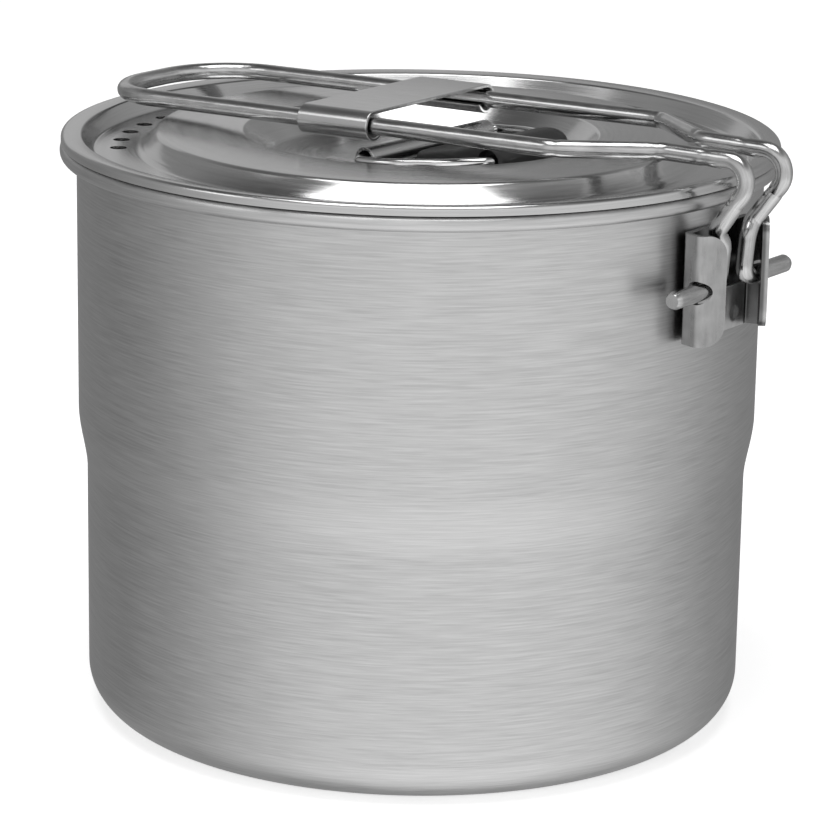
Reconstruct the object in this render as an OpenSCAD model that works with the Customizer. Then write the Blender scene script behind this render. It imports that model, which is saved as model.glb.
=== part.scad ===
// Camping cook set: a steel pot with a swing-over wire handle that locks its strainer lid,
// and two nested bowls with sporks inside. Millimetres, +Z up, origin under the pot's base,
// +X towards the handle bracket.

/* [Pot] */
// Outside radius of the pot above its shoulder
pot_r = 61; // [58:0.5:64]
// How much narrower the pot is below its shoulder
pot_step = 1.5; // [1:0.25:2.5]
// Height of the top of the pot's rolled rim
rim_z = 103.4; // [101:0.2:105]
// Height of the middle of the shoulder
shoulder_z = 49.8; // [44:0.5:56]
// Height over which the shoulder blends
shoulder_h = 11.6; // [8:0.5:14]
// Outside radius of the corner between base and wall
base_corner_r = 7.6; // [6:0.2:10]
// Thickness of the pot's sheet
pot_t = 0.7; // [0.5:0.1:1]
// How far the rolled rim stands out from the wall
bead_out = 2.95; // [2.4:0.1:3.4]
// Height of the rolled rim
bead_h = 2.7; // [2.2:0.1:3.2]

/* [Lid] */
// Thickness of the lid's sheet
lid_t = 0.6; // [0.5:0.05:0.7]
// Height of the lid's flat band above the pot's rim
lid_band_h = 1.8; // [1.6:0.1:2]
// Depth of the trough below the band
lid_depth = 3.1; // [2.8:0.1:3.3]
// How much deeper the centre recess is than the trough
recess_drop = 1.35; // [0.5:0.05:1.6]
// Radius of the centre recess at its top edge
recess_r = 31.5; // [30.5:0.25:32.5]
// Radius of the raised ring's outer edge
plateau_r = 47.6; // [46.5:0.2:48.5]
// Radius of the strainer holes
strain_hole_r = 1.5; // [1:0.1:1.9]
// Distance of the strainer holes from the middle
strain_circle_r = 53.6; // [53:0.1:54.2]
// Number of strainer holes
strain_count = 7; // [3:1:9]
// Angle between neighbouring strainer holes
strain_pitch = 8; // [6:0.5:10]

/* [Lid ring] */
// Radius of the ring's wire
ring_wire_r = 0.95; // [0.8:0.05:1]
// Distance from the hinge to the ring's end bar, measured to the middle of the wire
ring_reach = 21.6; // [20.6:0.2:22]
// Turn of the ring and its hinge about the pot's axis
ring_turn = -2.4; // [-6:0.2:0]
// Length of the rolled hinge tube
hinge_tube_l = 34.8; // [30:0.4:35]

/* [Handle] */
// Radius of the handle's wire
wire_r = 1.55; // [1.4:0.05:1.65]
// Half of the distance between the handle's arms
arm_y = 17.1; // [16.6:0.1:17.6]
// Distance from the pot's axis to the loop's end bar
loop_x = 61.3; // [58:0.5:63]
// Height of the handle's pivot
pivot_z = 87.5; // [86.5:0.25:88.5]
// Length of the slide lock
lock_l = 14.2; // [12:0.2:16]
// Thickness of the slide lock's sheet
lock_t = 0.6; // [0.5:0.05:0.7]

/* [Bracket] */
// Thickness of the bracket's sheet
bracket_t = 1.2; // [1:0.1:1.3]
// Height of the bracket's lower edge
bracket_z = 78.2; // [76:0.1:79]
// Height of the bracket
bracket_h = 18.95; // [18:0.05:20]
// Radius of the pivot holes in the ears
ear_hole_r = 2; // [1.95:0.05:2.3]

/* [Bowls and sporks] */
// Height of one bowl
bowl_h = 46; // [42:0.5:46]
// Radius of a bowl at its lip
bowl_lip_r = 57; // [54:0.5:57]
// Length of one spork
spork_l = 104; // [96:1:104]

/* [Hidden] */

steel = "silver";
dark_steel = "darkgray";
fine = 96;
eps = 0.02;

// ---- Helpers ----

// Points of an arc about [cx, cy], from angle a0 to a1, in n steps
function arc(cx, cy, r, a0, a1, n = 8) =
    [for (i = [0:n]) let (a = a0 + (a1 - a0) * i / n) [cx + r * cos(a), cy + r * sin(a)]];

// Points of a smooth S between [r0, z0] and [r1, z1], without its end points
function s_curve(r0, z0, r1, z1, n = 8) =
    [for (i = [1:n - 1]) let (u = i / n, s = u * u * (3 - 2 * u)) [r0 + (r1 - r0) * s, z0 + (z1 - z0) * u]];

function unit(v) = v / norm(v);
function left_of(v) = [-v[1], v[0]];
function reversed(list) = [for (i = [len(list) - 1:-1:0]) list[i]];

// The line that runs t to the left of a 2D path
function offset_path(path, t) = [for (i = [0:len(path) - 1])
    let (before = i == 0 ? unit(path[1] - path[0]) : unit(path[i] - path[i - 1]),
         after = i == len(path) - 1 ? before : unit(path[i + 1] - path[i]),
         bisector = unit(left_of(before) + left_of(after)))
    path[i] + bisector * t / max(0.3, bisector * left_of(before))];

// Bent sheet in 2D: the path is one face, and the sheet lies t to its left
module sheet_path(path, t) {
    polygon(concat(path, reversed(offset_path(path, t))));
}

// Replaces each inner corner of a 3D path with an arc of the radius given for it
function round_path(points, radii, steps) = concat([points[0]],
    [for (i = [1:len(points) - 2])
        let (p = points[i], a = unit(points[i - 1] - p), b = unit(points[i + 1] - p),
             half = acos(max(-1, min(1, a * b))) / 2,
             centre = p + unit(a + b) * radii[i] / sin(half),
             from = unit(p + a * radii[i] / tan(half) - centre),
             to = unit(p + b * radii[i] / tan(half) - centre),
             sweep = 180 - 2 * half)
        for (k = [0:steps])
            let (w = k / steps)
            centre + radii[i] * (from * sin((1 - w) * sweep) + to * sin(w * sweep)) / sin(sweep)],
    [points[len(points) - 1]]);

// Directions along a 3D path, one for each point
function path_tangents(path, closed) = [for (i = [0:len(path) - 1])
    let (last = len(path) - 1,
         next = i < last ? path[i + 1] : (closed ? path[0] : path[i]),
         back = i > 0 ? path[i - 1] : (closed ? path[last] : path[i]))
    unit(next - back)];

// A wire of one radius along a 3D path, as a ring of points carried from one tangent to the next
module swept_wire(path, r, sides, closed = false) {
    tangents = path_tangents(path, closed);
    start = unit(cross(tangents[0], abs(tangents[0][2]) < 0.9 ? [0, 0, 1] : [1, 0, 0]));
    normals = [for (i = 0, n = start; i < len(path);
                    i = i + 1,
                    n = i < len(path) ? unit(n - tangents[i] * (n * tangents[i])) : n) n];
    rings = [for (i = [0:len(path) - 1], k = [0:sides - 1])
        let (a = 360 * k / sides, side = cross(tangents[i], normals[i]))
        path[i] + r * (cos(a) * normals[i] + sin(a) * side)];
    count = len(path);
    spans = closed ? count : count - 1;
    walls = [for (i = [0:spans - 1], k = [0:sides - 1])
        let (j = (i + 1) % count, m = (k + 1) % sides)
        [i * sides + k, i * sides + m, j * sides + m, j * sides + k]];
    caps = closed ? [] : [reversed([for (k = [0:sides - 1]) k]),
                          [for (k = [0:sides - 1]) (count - 1) * sides + k]];
    polyhedron(points = rings, faces = [for (f = concat(walls, caps)) reversed(f)], convexity = 6);
}

// ---- Pot ----

foot_r = pot_r - pot_step;
shoulder_low = shoulder_z - shoulder_h / 2;
shoulder_high = shoulder_z + shoulder_h / 2;
bead_r = pot_r + bead_out;
bead_round = 1.1;

// Outside of the pot from the middle of its base up to the rolled rim, then back down its inside
function pot_outline() = concat(
    [[0, 0]],
    arc(foot_r - base_corner_r, base_corner_r, base_corner_r, -90, 0, 10),
    [[foot_r, shoulder_low]],
    s_curve(foot_r, shoulder_low, pot_r, shoulder_high, 10),
    [[pot_r, shoulder_high], [pot_r, rim_z - bead_h - 0.6], [pot_r + 0.5, rim_z - bead_h]],
    arc(bead_r - bead_round, rim_z - bead_h + bead_round, bead_round, -80, 0, 5),
    arc(bead_r - bead_round, rim_z - bead_round, bead_round, 0, 90, 5),
    arc(pot_r - pot_t + 0.6, rim_z - 0.6, 0.6, 90, 180, 4),
    [[pot_r - pot_t, shoulder_high]],
    reversed(s_curve(foot_r - pot_t, shoulder_low, pot_r - pot_t, shoulder_high, 10)),
    [[foot_r - pot_t, shoulder_low]],
    arc(foot_r - base_corner_r, base_corner_r, base_corner_r - pot_t, 0, -90, 10),
    [[0, pot_t]]);

module pot_body() {
    color(steel)
    rotate_extrude($fn = fine) polygon(pot_outline());
}

// ---- Handle bracket ----

bracket_base_x = pot_r + 0.15;
bracket_base_y = 10.2;
ear_bend_x = 65.05;
ear_bend_y = 11.3;
lip_x = 67.95;
lip_y = 6.9;
lip_corner_r = 3;
bend_cut = 0.7;
pivot_x = 64.6;
stop_plate_t = 0.6;
stop_plate_h = 7.6;

// Outer face of the bent sheet, seen from above, from one lip round the base to the other
function bracket_path() =
    let (half = [[lip_x, lip_y], [ear_bend_x, ear_bend_y],
                 [bracket_base_x + bend_cut, bracket_base_y],
                 [bracket_base_x, bracket_base_y - bend_cut]])
    concat(half, [for (p = reversed(half)) [p[0], -p[1]]]);

// What the rounded corner of a lip loses, as a prism along X
module lip_corner(side, top) {
    translate([ear_bend_x + 1.4, side * (lip_y - eps * 5), bracket_z + (top ? bracket_h : 0)])
        mirror([0, side < 0 ? 1 : 0, 0])
        mirror([0, 0, top ? 1 : 0])
        rotate([90, 0, 90])
        linear_extrude(4)
        difference() {
            translate([-1, -1]) square(lip_corner_r + 1);
            translate([lip_corner_r, lip_corner_r]) circle(lip_corner_r, $fn = 48);
        }
}

module handle_bracket() {
    color(steel)
    difference() {
        translate([0, 0, bracket_z])
            linear_extrude(bracket_h)
            sheet_path(bracket_path(), bracket_t);
        for (side = [-1, 1], top = [false, true]) lip_corner(side, top);
        translate([pivot_x, 20, pivot_z])
            rotate([90, 0, 0])
            cylinder(h = 40, r = ear_hole_r, $fn = 64);
    }
}

// Plate inside the channel's lower half, which the handle's legs come to rest on
module bracket_stop_plate() {
    color(dark_steel)
    translate([bracket_base_x + bracket_t, -bracket_base_y + 2.4, bracket_z + 0.2])
        cube([stop_plate_t, 2 * bracket_base_y - 4.8, stop_plate_h]);
}

// ---- Handle ----

arm_z = 108.81;
arm_rise = 0.0216;
leg_y = 4.15;
pin_end_y = 18.3;
pin_start_y = 7.5;
pin_chamfer = 0.4;
kink_x = 39.6;
neck_x = 54.2;

// Height of the arms above the base at a distance x from the pot's axis
function arm_height(x) = arm_z + arm_rise * x;

// Half of the handle's centre line, from the pin to the middle of the loop's end bar
half_handle = [[pivot_x, pin_start_y + 1.5, pivot_z], [pivot_x, leg_y, pivot_z],
               [65.25, leg_y - 0.1, 94.8], [65, 5.9, 97.1], [68.9, 6.55, 102.5],
               [73.8, 5.8, 109.55], [neck_x, 6.4, 109.6],
               [kink_x, arm_y, arm_height(kink_x)], [-loop_x, arm_y, arm_height(-loop_x)],
               [-loop_x, 0, arm_height(-loop_x)]];
handle_bends = [0, 2.6, 2.5, 2.5, 6, 3.6, 5, 8, 13.5, 0];
bend_steps = 5;

module handle_pin(side) {
    straight = pin_end_y - pin_start_y - pin_chamfer;
    translate([pivot_x, side * pin_start_y, pivot_z])
        rotate([-90 * side, 0, 0]) {
            cylinder(h = straight, r = wire_r + eps, $fn = 48);
            translate([0, 0, straight])
                cylinder(h = pin_chamfer, r1 = wire_r + eps, r2 = wire_r - pin_chamfer, $fn = 48);
        }
}

module handle_wire() {
    half = round_path(half_handle, handle_bends, bend_steps);
    mirrored = [for (i = [len(half) - 2:-1:0]) [half[i][0], -half[i][1], half[i][2]]];
    color(steel) {
        swept_wire(concat(half, mirrored), wire_r, 12);
        handle_pin(1);
        handle_pin(-1);
    }
}

// Strap that slides along both arms, curled round each of them
lock_x = -12.7;
lock_gap = 0.35;
lock_curl_r = wire_r + lock_gap;
lock_open_angle = 200;

function lock_path() = concat(
    arc(arm_y, 0, lock_curl_r, lock_open_angle - 360, 90, 20),
    arc(-arm_y, 0, lock_curl_r, 90, 540 - lock_open_angle, 20));

module slide_lock() {
    color(steel)
    translate([lock_x, 0, arm_height(lock_x)])
        rotate([0, -atan(arm_rise), 0])
        rotate([90, 0, 90])
        linear_extrude(lock_l)
        sheet_path(lock_path(), -lock_t);
}

// ---- Lid ----

lid_edge_gap = 0.25;
band_z = rim_z + lid_band_h;
trough_z = band_z - lid_depth;
plateau_z = band_z + 0.2;
recess_floor_z = trough_z - recess_drop;
recess_slope_w = 5;
lid_edge_r = bead_r - lid_t / 3;
band_in_r = pot_r - 0.97;
trough_out_r = pot_r - 2.5;

// Top face of the lid's sheet, from its middle out to the turned-down edge
function lid_path() = concat(
    [[0, recess_floor_z]],
    arc(recess_r - recess_slope_w, recess_floor_z + 1, 1, -90, -45, 4),
    arc(recess_r + 0.4, plateau_z - 1.1, 1, 135, 90, 4),
    [[recess_r + 6, plateau_z + 0.1], [plateau_r - 4, plateau_z + 0.1]],
    arc(plateau_r - 1.4, plateau_z - 1.3, 1.4, 88, 20, 5),
    [[plateau_r + 1.2, trough_z + 0.7], [plateau_r + 2, trough_z + 0.1], [plateau_r + 3, trough_z]],
    arc(trough_out_r - 0.9, trough_z + 0.9, 0.9, -90, -25, 4),
    arc(band_in_r + 0.5, band_z - 1, 0.7, 155, 100, 4),
    arc(lid_edge_r - 0.9, band_z - 0.9, 0.9, 90, 0, 5),
    [[lid_edge_r, rim_z + lid_edge_gap]]);

module lid_shell() {
    color(steel)
    difference() {
        rotate_extrude($fn = fine) sheet_path(lid_path(), -lid_t);
        for (i = [0:strain_count - 1])
            rotate(180 + strain_pitch * (i - 1))
            translate([strain_circle_r, 0, trough_z - 3])
            cylinder(h = 6, r = strain_hole_r, $fn = 32);
    }
}

// ---- Lid ring: drawn with its hinge along Y, then turned ----

tube_r = 2.1;
tube_bore_r = 1.5;
hinge_x = 1.2;
hinge_z = recess_floor_z + tube_r + 0.02;
clip_plate_l = 12;
clip_plate_t = 0.6;

module on_lid() {
    rotate(ring_turn) translate([hinge_x, 0, 0]) children();
}

// Rolled tube on a plate, spot-welded to the floor of the recess
module lid_ring_clip() {
    plate_w = hinge_tube_l - 6;
    color(dark_steel)
    on_lid()
    difference() {
        union() {
            translate([0, hinge_tube_l / 2, hinge_z])
                rotate([90, 0, 0])
                cylinder(h = hinge_tube_l, r = tube_r, $fn = 64);
            translate([-clip_plate_l, -plate_w / 2, recess_floor_z])
                cube([clip_plate_l, plate_w, clip_plate_t]);
        }
        translate([0, hinge_tube_l / 2 + 1, hinge_z])
            rotate([90, 0, 0])
            cylinder(h = hinge_tube_l + 2, r = tube_bore_r, $fn = 64);
    }
}

// The ring lies tilted, its end bar held up by the grip
ring_tilt = 4;
ring_side_y = hinge_tube_l / 2 + 2.7;

// Half of the ring's centre line in its own plane, from the hinge's middle to the end bar's
function half_ring() = round_path(
    [[0, 0, 0], [0, ring_side_y - 0.2, 0], [7, ring_side_y, 0],
     [ring_reach - 4.8, ring_side_y - 3.7, 0], [ring_reach + 0.7, 11.3, 0], [ring_reach, 0, 0]],
    [0, 1.8, 14, 14, 2.5, 0], 4);

module lid_ring_wire() {
    half = half_ring();
    back = [for (i = [len(half) - 2:-1:1]) [half[i][0], -half[i][1], half[i][2]]];
    color(steel)
    on_lid() translate([0, 0, hinge_z]) rotate([0, -ring_tilt, 0])
        swept_wire(concat(half, back), ring_wire_r, 10, true);
}

// Moulded grip on the end bar: a tongue in plan, a wedge from the side
grip_in_x = 3.6;
grip_out_x = 24.5;
grip_half_w = 10.8;
grip_z = recess_floor_z + 0.3;
grip_end_r = 3.4;
grip_channel_r = ring_wire_r + 0.05;
grip_pocket_r = 2;
grip_pocket_depth = 2;

function grip_side() = concat(
    [[grip_in_x, grip_z + 0.9], [grip_in_x + 1.2, grip_z]],
    arc(grip_out_x - grip_end_r, grip_z + grip_end_r, grip_end_r, -90, 110, 10),
    [[grip_in_x + 10, grip_z + 4.3], [grip_in_x + 5, grip_z + 3], [grip_in_x + 1, grip_z + 2.3]]);

function grip_plan() = concat(
    arc(grip_out_x - 3, grip_half_w - 3, 3, 0, 80, 5),
    [[grip_in_x + 10, grip_half_w]],
    arc(grip_in_x + 5, grip_half_w - 6.5, 5, 100, 170, 5));

module lid_ring_grip() {
    plan = grip_plan();
    color("black")
    on_lid()
    difference() {
        intersection() {
            translate([0, 20, 0]) rotate([90, 0, 0]) linear_extrude(40) polygon(grip_side());
            linear_extrude(200) polygon(concat(plan, [for (q = reversed(plan)) [q[0], -q[1]]]));
        }
        translate([0, 0, hinge_z]) rotate([0, -ring_tilt, 0]) translate([ring_reach, 0, 0])
            rotate([90, 0, 0]) {
                translate([0, 0, -20]) cylinder(h = 40, r = grip_channel_r, $fn = 48);
                for (side = [0, 1]) mirror([0, 0, side])
                    translate([0, 0, grip_half_w - grip_pocket_depth])
                    cylinder(h = 5, r = grip_pocket_r, $fn = 48);
            }
    }
}

// ---- Nested bowls ----

bowl_seat = 4;
bowl_foot_r = bowl_lip_r - 7;
bowl_wall_r = bowl_lip_r - 2.6;
shell_t = 1.4;
liner_t = 1.3;
lip_h = 3;
clear = 0.3;
lower_bowl_z = pot_t + clear;
upper_bowl_z = lower_bowl_z + bowl_h - bowl_seat + clear;

module bowl_shell(z) {
    wall_top = bowl_h - lip_h;
    translate([0, 0, z])
    rotate_extrude($fn = fine)
    sheet_path(concat([[0, 0]],
        arc(bowl_foot_r - 1, 1, 1, -90, 0, 4),
        [[bowl_foot_r, bowl_seat]],
        arc(bowl_wall_r - 2, bowl_seat + 2, 2, -90, 0, 4),
        [[bowl_wall_r + 1, wall_top]]), shell_t);
}

module bowl_liner(z) {
    floor_z = bowl_seat + shell_t + 1;
    wall_r = bowl_foot_r + 1;
    translate([0, 0, z])
    rotate_extrude($fn = fine)
    sheet_path(concat([[0, floor_z + liner_t]],
        arc(wall_r - 8, floor_z + liner_t + 6, 6, -90, 0, 6),
        [[wall_r, bowl_h - lip_h]],
        arc(bowl_lip_r - 1.2, bowl_h - 1.2, 1.2, 90, 0, 4),
        [[bowl_lip_r, bowl_h - lip_h + 0.2]]), -liner_t);
}

module lower_bowl_shell() { color("seagreen") bowl_shell(lower_bowl_z); }
module lower_bowl_liner() { color("ivory") bowl_liner(lower_bowl_z); }
module upper_bowl_shell() { color("seagreen") bowl_shell(upper_bowl_z); }
module upper_bowl_liner() { color("ivory") bowl_liner(upper_bowl_z); }

// ---- Sporks: they lie head to tail across the upper bowl's lip ----

spork_y = 20;
spork_rest = 1.2;
spork_z = upper_bowl_z + bowl_h + spork_rest;
spork_t = 1.2;
spork_handle_t = 1.8;
spork_head_l = 48;
spork_head_w = 33;
spork_dish_r = 75;
tine_gap = 2.2;
tine_l = 11;

module spork_outline() {
    head_x = spork_l / 2 - spork_head_l / 2;
    difference() {
        hull() {
            translate([head_x, 0]) circle(spork_head_w / 2, $fn = 64);
            translate([spork_l / 2 - 8, 0]) circle(8, $fn = 48);
            translate([head_x - spork_head_l / 2 + 4, 0]) circle(4, $fn = 32);
        }
        for (side = [-1, 1])
            translate([spork_l / 2 - tine_l, side * 3.3 - tine_gap / 2]) square([tine_l + 1, tine_gap]);
    }
}

module spork() {
    head_x = spork_l / 2 - spork_head_l / 2;
    sag = spork_dish_r - sqrt(pow(spork_dish_r, 2) - pow(spork_head_l / 2, 2));
    intersection() {
        translate([0, 0, -sag - 1]) linear_extrude(sag + 4) spork_outline();
        translate([head_x, 0, spork_dish_r - sag])
            difference() {
                sphere(spork_dish_r, $fn = 128);
                sphere(spork_dish_r - spork_t, $fn = 128);
            }
    }
    neck = spork_l / 2 - spork_head_l + 3;
    translate([-spork_l / 2, -5, 0])
        cube([spork_l / 2 + neck, 10, spork_handle_t]);
}

module first_spork() {
    color(steel) translate([0, -spork_y, spork_z]) spork();
}

module second_spork() {
    color(steel) translate([0, spork_y, spork_z]) rotate(180) spork();
}

pot_body();
handle_bracket();
bracket_stop_plate();
handle_wire();
slide_lock();
lid_shell();
lid_ring_clip();
lid_ring_wire();
lid_ring_grip();
lower_bowl_shell();
lower_bowl_liner();
upper_bowl_shell();
upper_bowl_liner();
first_spork();
second_spork();
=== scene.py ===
"""Camping cook set: detailed pieces, materials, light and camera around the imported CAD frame.

Shapes are written in millimetres in the CAD frame (+Z up, +X towards the handle bracket) and
become metres when their mesh is made.
"""

from math import acos, atan, cos, hypot, pi, radians, sin, sqrt, tan, tau

import bmesh
import bpy
from mathutils import Matrix, Vector


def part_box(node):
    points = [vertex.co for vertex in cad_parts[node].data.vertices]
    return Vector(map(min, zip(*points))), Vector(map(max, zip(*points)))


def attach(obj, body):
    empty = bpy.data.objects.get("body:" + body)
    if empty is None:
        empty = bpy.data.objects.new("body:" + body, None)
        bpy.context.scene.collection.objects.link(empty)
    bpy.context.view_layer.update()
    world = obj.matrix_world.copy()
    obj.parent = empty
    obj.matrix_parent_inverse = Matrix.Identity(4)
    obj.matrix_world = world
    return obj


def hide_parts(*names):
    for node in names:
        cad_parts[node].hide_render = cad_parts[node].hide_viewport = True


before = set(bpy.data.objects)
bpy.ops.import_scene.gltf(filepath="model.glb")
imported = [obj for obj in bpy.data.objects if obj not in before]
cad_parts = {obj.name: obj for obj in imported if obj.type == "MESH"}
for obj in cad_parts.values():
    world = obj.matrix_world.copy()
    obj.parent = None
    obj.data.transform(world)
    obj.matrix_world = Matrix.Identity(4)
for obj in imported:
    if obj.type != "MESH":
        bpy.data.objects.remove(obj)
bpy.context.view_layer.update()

MM = 0.001


def node_box(node):
    """Lowest and highest corner of a CAD node, in millimetres."""
    low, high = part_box(node)
    return low / MM, high / MM


# ---- Main sizes, from the frame ----

pot_high = node_box("pot_body")[1]
bracket_low, bracket_high = node_box("handle_bracket")
handle_low, handle_high = node_box("handle_wire")

# Pot: rolled rim, upper wall and lower wall, with the shoulder between the walls
RIM_R = pot_high.x
RIM_Z = pot_high.z
POT_R = RIM_R - 2.95
FOOT_R = POT_R - 1.5
SHOULDER_LOW = 44.0
SHOULDER_HIGH = 55.6

# Lid, from its edge inward: band, trough, plateau, recess
BAND_Z = RIM_Z + 1.8
TROUGH_Z = BAND_Z - 3.1
PLATEAU_Z = BAND_Z + 0.3
RECESS_Z = TROUGH_Z - 1.35

# Lid ring: its hinge, which is turned a little about Z, in degrees
RING_TURN = -2.4
HINGE_X = 1.2
TUBE_R = 2.1
FLOOR_GAP = 0.02
HINGE_Z = RECESS_Z + TUBE_R + FLOOR_GAP

# Handle: its pins' axis, and its two arms, which rise a little towards +X
PIVOT_X = 64.6
PIVOT_Z = 87.5
WIRE_R = 1.55
ARM_Y = 17.1
ARM_RISE = 0.0216
ARM_Z = 108.81

# Bracket: outer corners of its bent sheet in plan, on the +Y side
BRACKET_BASE = (61.15, 10.2)
BRACKET_EAR = (65.05, 11.3)
BRACKET_LIP = (67.95, 6.9)

# Flats in a full turn of a lathed piece
ROUND = 256
BOWL_ROUND = 160


# ---- Outlines ----

def arc(cx, cy, r, start, end, steps=8):
    """Points of an arc about (cx, cy), from one angle to another in degrees."""
    angles = [radians(start + (end - start) * i / steps) for i in range(steps + 1)]
    return [(cx + r * cos(a), cy + r * sin(a)) for a in angles]


def s_curve(start, end, steps=16):
    """Points of a smooth S from one (r, z) to another, without its ends."""
    points = []
    for i in range(1, steps):
        u = i / steps
        s = u * u * (3 - 2 * u)
        points.append((start[0] + (end[0] - start[0]) * s, start[1] + (end[1] - start[1]) * u))
    return points


def offset(path, distance):
    """The line that runs a distance to the left of a 2D path."""
    points = [Vector(p) for p in path]
    last = len(points) - 1
    moved = []
    for i, point in enumerate(points):
        before = (point - points[i - 1]) if i else (points[1] - point)
        after = (points[i + 1] - point) if i < last else before
        before.normalize()
        after.normalize()
        left = Vector((-before.y, before.x))
        bisector = (left + Vector((-after.y, after.x))).normalized()
        moved.append(tuple(point + bisector * distance / max(0.3, bisector.dot(left))))
    return moved


def sheet(path, thickness):
    """Closed outline of a bent sheet: the path is one face, the sheet lies to its left."""
    return list(path) + offset(path, thickness)[::-1]


def round_path(points, radii, steps=10, spacing=2.0):
    """A 3D path with an arc of its own radius at each inner corner, and points along its runs."""
    points = [Vector(p) for p in points]
    path = [points[0]]
    for i in range(1, len(points) - 1):
        corner = points[i]
        back = (points[i - 1] - corner).normalized()
        ahead = (points[i + 1] - corner).normalized()
        half = acos(max(-1.0, min(1.0, back.dot(ahead)))) / 2
        centre = corner + (back + ahead).normalized() * radii[i] / sin(half)
        start = (corner + back * radii[i] / tan(half) - centre).normalized()
        end = (corner + ahead * radii[i] / tan(half) - centre).normalized()
        sweep_angle = pi - 2 * half
        for k in range(steps + 1):
            w = k / steps
            mix = start * sin((1 - w) * sweep_angle) + end * sin(w * sweep_angle)
            path.append(centre + mix * radii[i] / sin(sweep_angle))
    path.append(points[-1])
    dense = [path[0]]
    for target in path[1:]:
        run = (target - dense[-1]).length
        count = max(1, round(run / spacing))
        origin = dense[-1]
        dense += [origin.lerp(target, (k + 1) / count) for k in range(count)]
    return dense


# ---- Meshes ----

def make_piece(name, verts, faces, material, body, nodes=(), sharp=35.0, uvs=None):
    """A mesh piece from millimetre vertices, which rides on a body and stands for CAD nodes."""
    mesh = bpy.data.meshes.new(name)
    mesh.from_pydata([Vector(v) * MM for v in verts], [], faces)
    mesh.materials.append(material)
    obj = bpy.data.objects.new(name, mesh)
    bpy.context.scene.collection.objects.link(obj)
    if uvs:
        layer = mesh.uv_layers.new(name="along")
        for face, corners in zip(mesh.polygons, uvs):
            for loop, uv in zip(face.loop_indices, corners):
                layer.data[loop].uv = uv
    tidy_normals(mesh)
    smooth(mesh, sharp)
    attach(obj, body)
    if nodes:
        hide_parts(*nodes)
    return obj


def tidy_normals(mesh):
    """Turns every face outward."""
    bm = bmesh.new()
    bm.from_mesh(mesh)
    bmesh.ops.recalc_face_normals(bm, faces=bm.faces)
    bm.to_mesh(mesh)
    bm.free()


def smooth(mesh, sharp):
    """Smooth shading, with edges sharper than an angle in degrees left sharp."""
    mesh.polygons.foreach_set("use_smooth", [True] * len(mesh.polygons))
    mesh.set_sharp_from_angle(angle=radians(sharp))


def lathe(profile, segments=ROUND):
    """Vertices and faces of a profile of (r, z) turned about Z."""
    verts, rings, faces = [], [], []
    for r, z in profile:
        if r < 1e-6:
            rings.append([len(verts)])
            verts.append((0, 0, z))
            continue
        rings.append(list(range(len(verts), len(verts) + segments)))
        verts += [(r * cos(tau * k / segments), r * sin(tau * k / segments), z) for k in range(segments)]
    for low, high in zip(rings, rings[1:]):
        for k in range(segments):
            corners = (low[k % len(low)], low[(k + 1) % len(low)],
                       high[(k + 1) % len(high)], high[k % len(high)])
            face = list(dict.fromkeys(corners))
            if len(face) > 2:
                faces.append(face)
    return verts, faces


def sweep(path, radius, sides=28, closed=False):
    """A round wire along a 3D path. radius is a function of the distance along it, in millimetres.

    Also returns UVs: the turn round the wire, and the distance along it.
    """
    count = len(path)
    tangents = []
    for i in range(count):
        ahead = path[(i + 1) % count] if closed or i < count - 1 else path[i]
        back = path[i - 1] if closed or i else path[i]
        tangents.append((ahead - back).normalized())
    normal = tangents[0].orthogonal().normalized()
    verts, along, distance = [], [], 0.0
    for i in range(count):
        if i:
            distance += (path[i] - path[i - 1]).length
            normal = (normal - tangents[i] * normal.dot(tangents[i])).normalized()
        along.append(distance)
        side = tangents[i].cross(normal)
        r = radius(distance)
        verts += [path[i] + r * (normal * cos(tau * k / sides) + side * sin(tau * k / sides))
                  for k in range(sides)]
    faces, uvs = [], []
    along.append(distance + (path[0] - path[-1]).length)
    for i in range(count if closed else count - 1):
        j = (i + 1) % count
        for k in range(sides):
            m = (k + 1) % sides
            faces.append((i * sides + k, i * sides + m, j * sides + m, j * sides + k))
            low, high = k / sides, (k + 1) / sides
            uvs.append(((low, along[i]), (high, along[i]), (high, along[i + 1]), (low, along[i + 1])))
    if not closed:
        for start in (0, (count - 1) * sides):
            faces.append(tuple(range(start, start + sides)))
            uvs.append(((0.5, along[start // sides]),) * sides)
    return verts, faces, uvs


def prism(section, start, end, place, steps=1):
    """A closed 2D section carried from start to end. place turns (u, v, w) into (x, y, z)."""
    count = len(section)
    stops = [start + (end - start) * i / steps for i in range(steps + 1)]
    verts = [place(u, v, w) for w in stops for u, v in section]
    faces = [tuple(range(count)), tuple(range(count * steps, count * (steps + 1)))]
    for i in range(steps):
        for k in range(count):
            m = (k + 1) % count
            faces.append((i * count + k, i * count + m, (i + 1) * count + m, (i + 1) * count + k))
    return verts, faces


def soften(obj, width, segments=3, angle=40.0):
    """Rounds the sharp edges of a piece by a width in millimetres."""
    bevel = obj.modifiers.new("soft_edges", "BEVEL")
    bevel.width = width * MM
    bevel.segments = segments
    bevel.limit_method = "ANGLE"
    bevel.angle_limit = radians(angle)
    return obj


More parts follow.
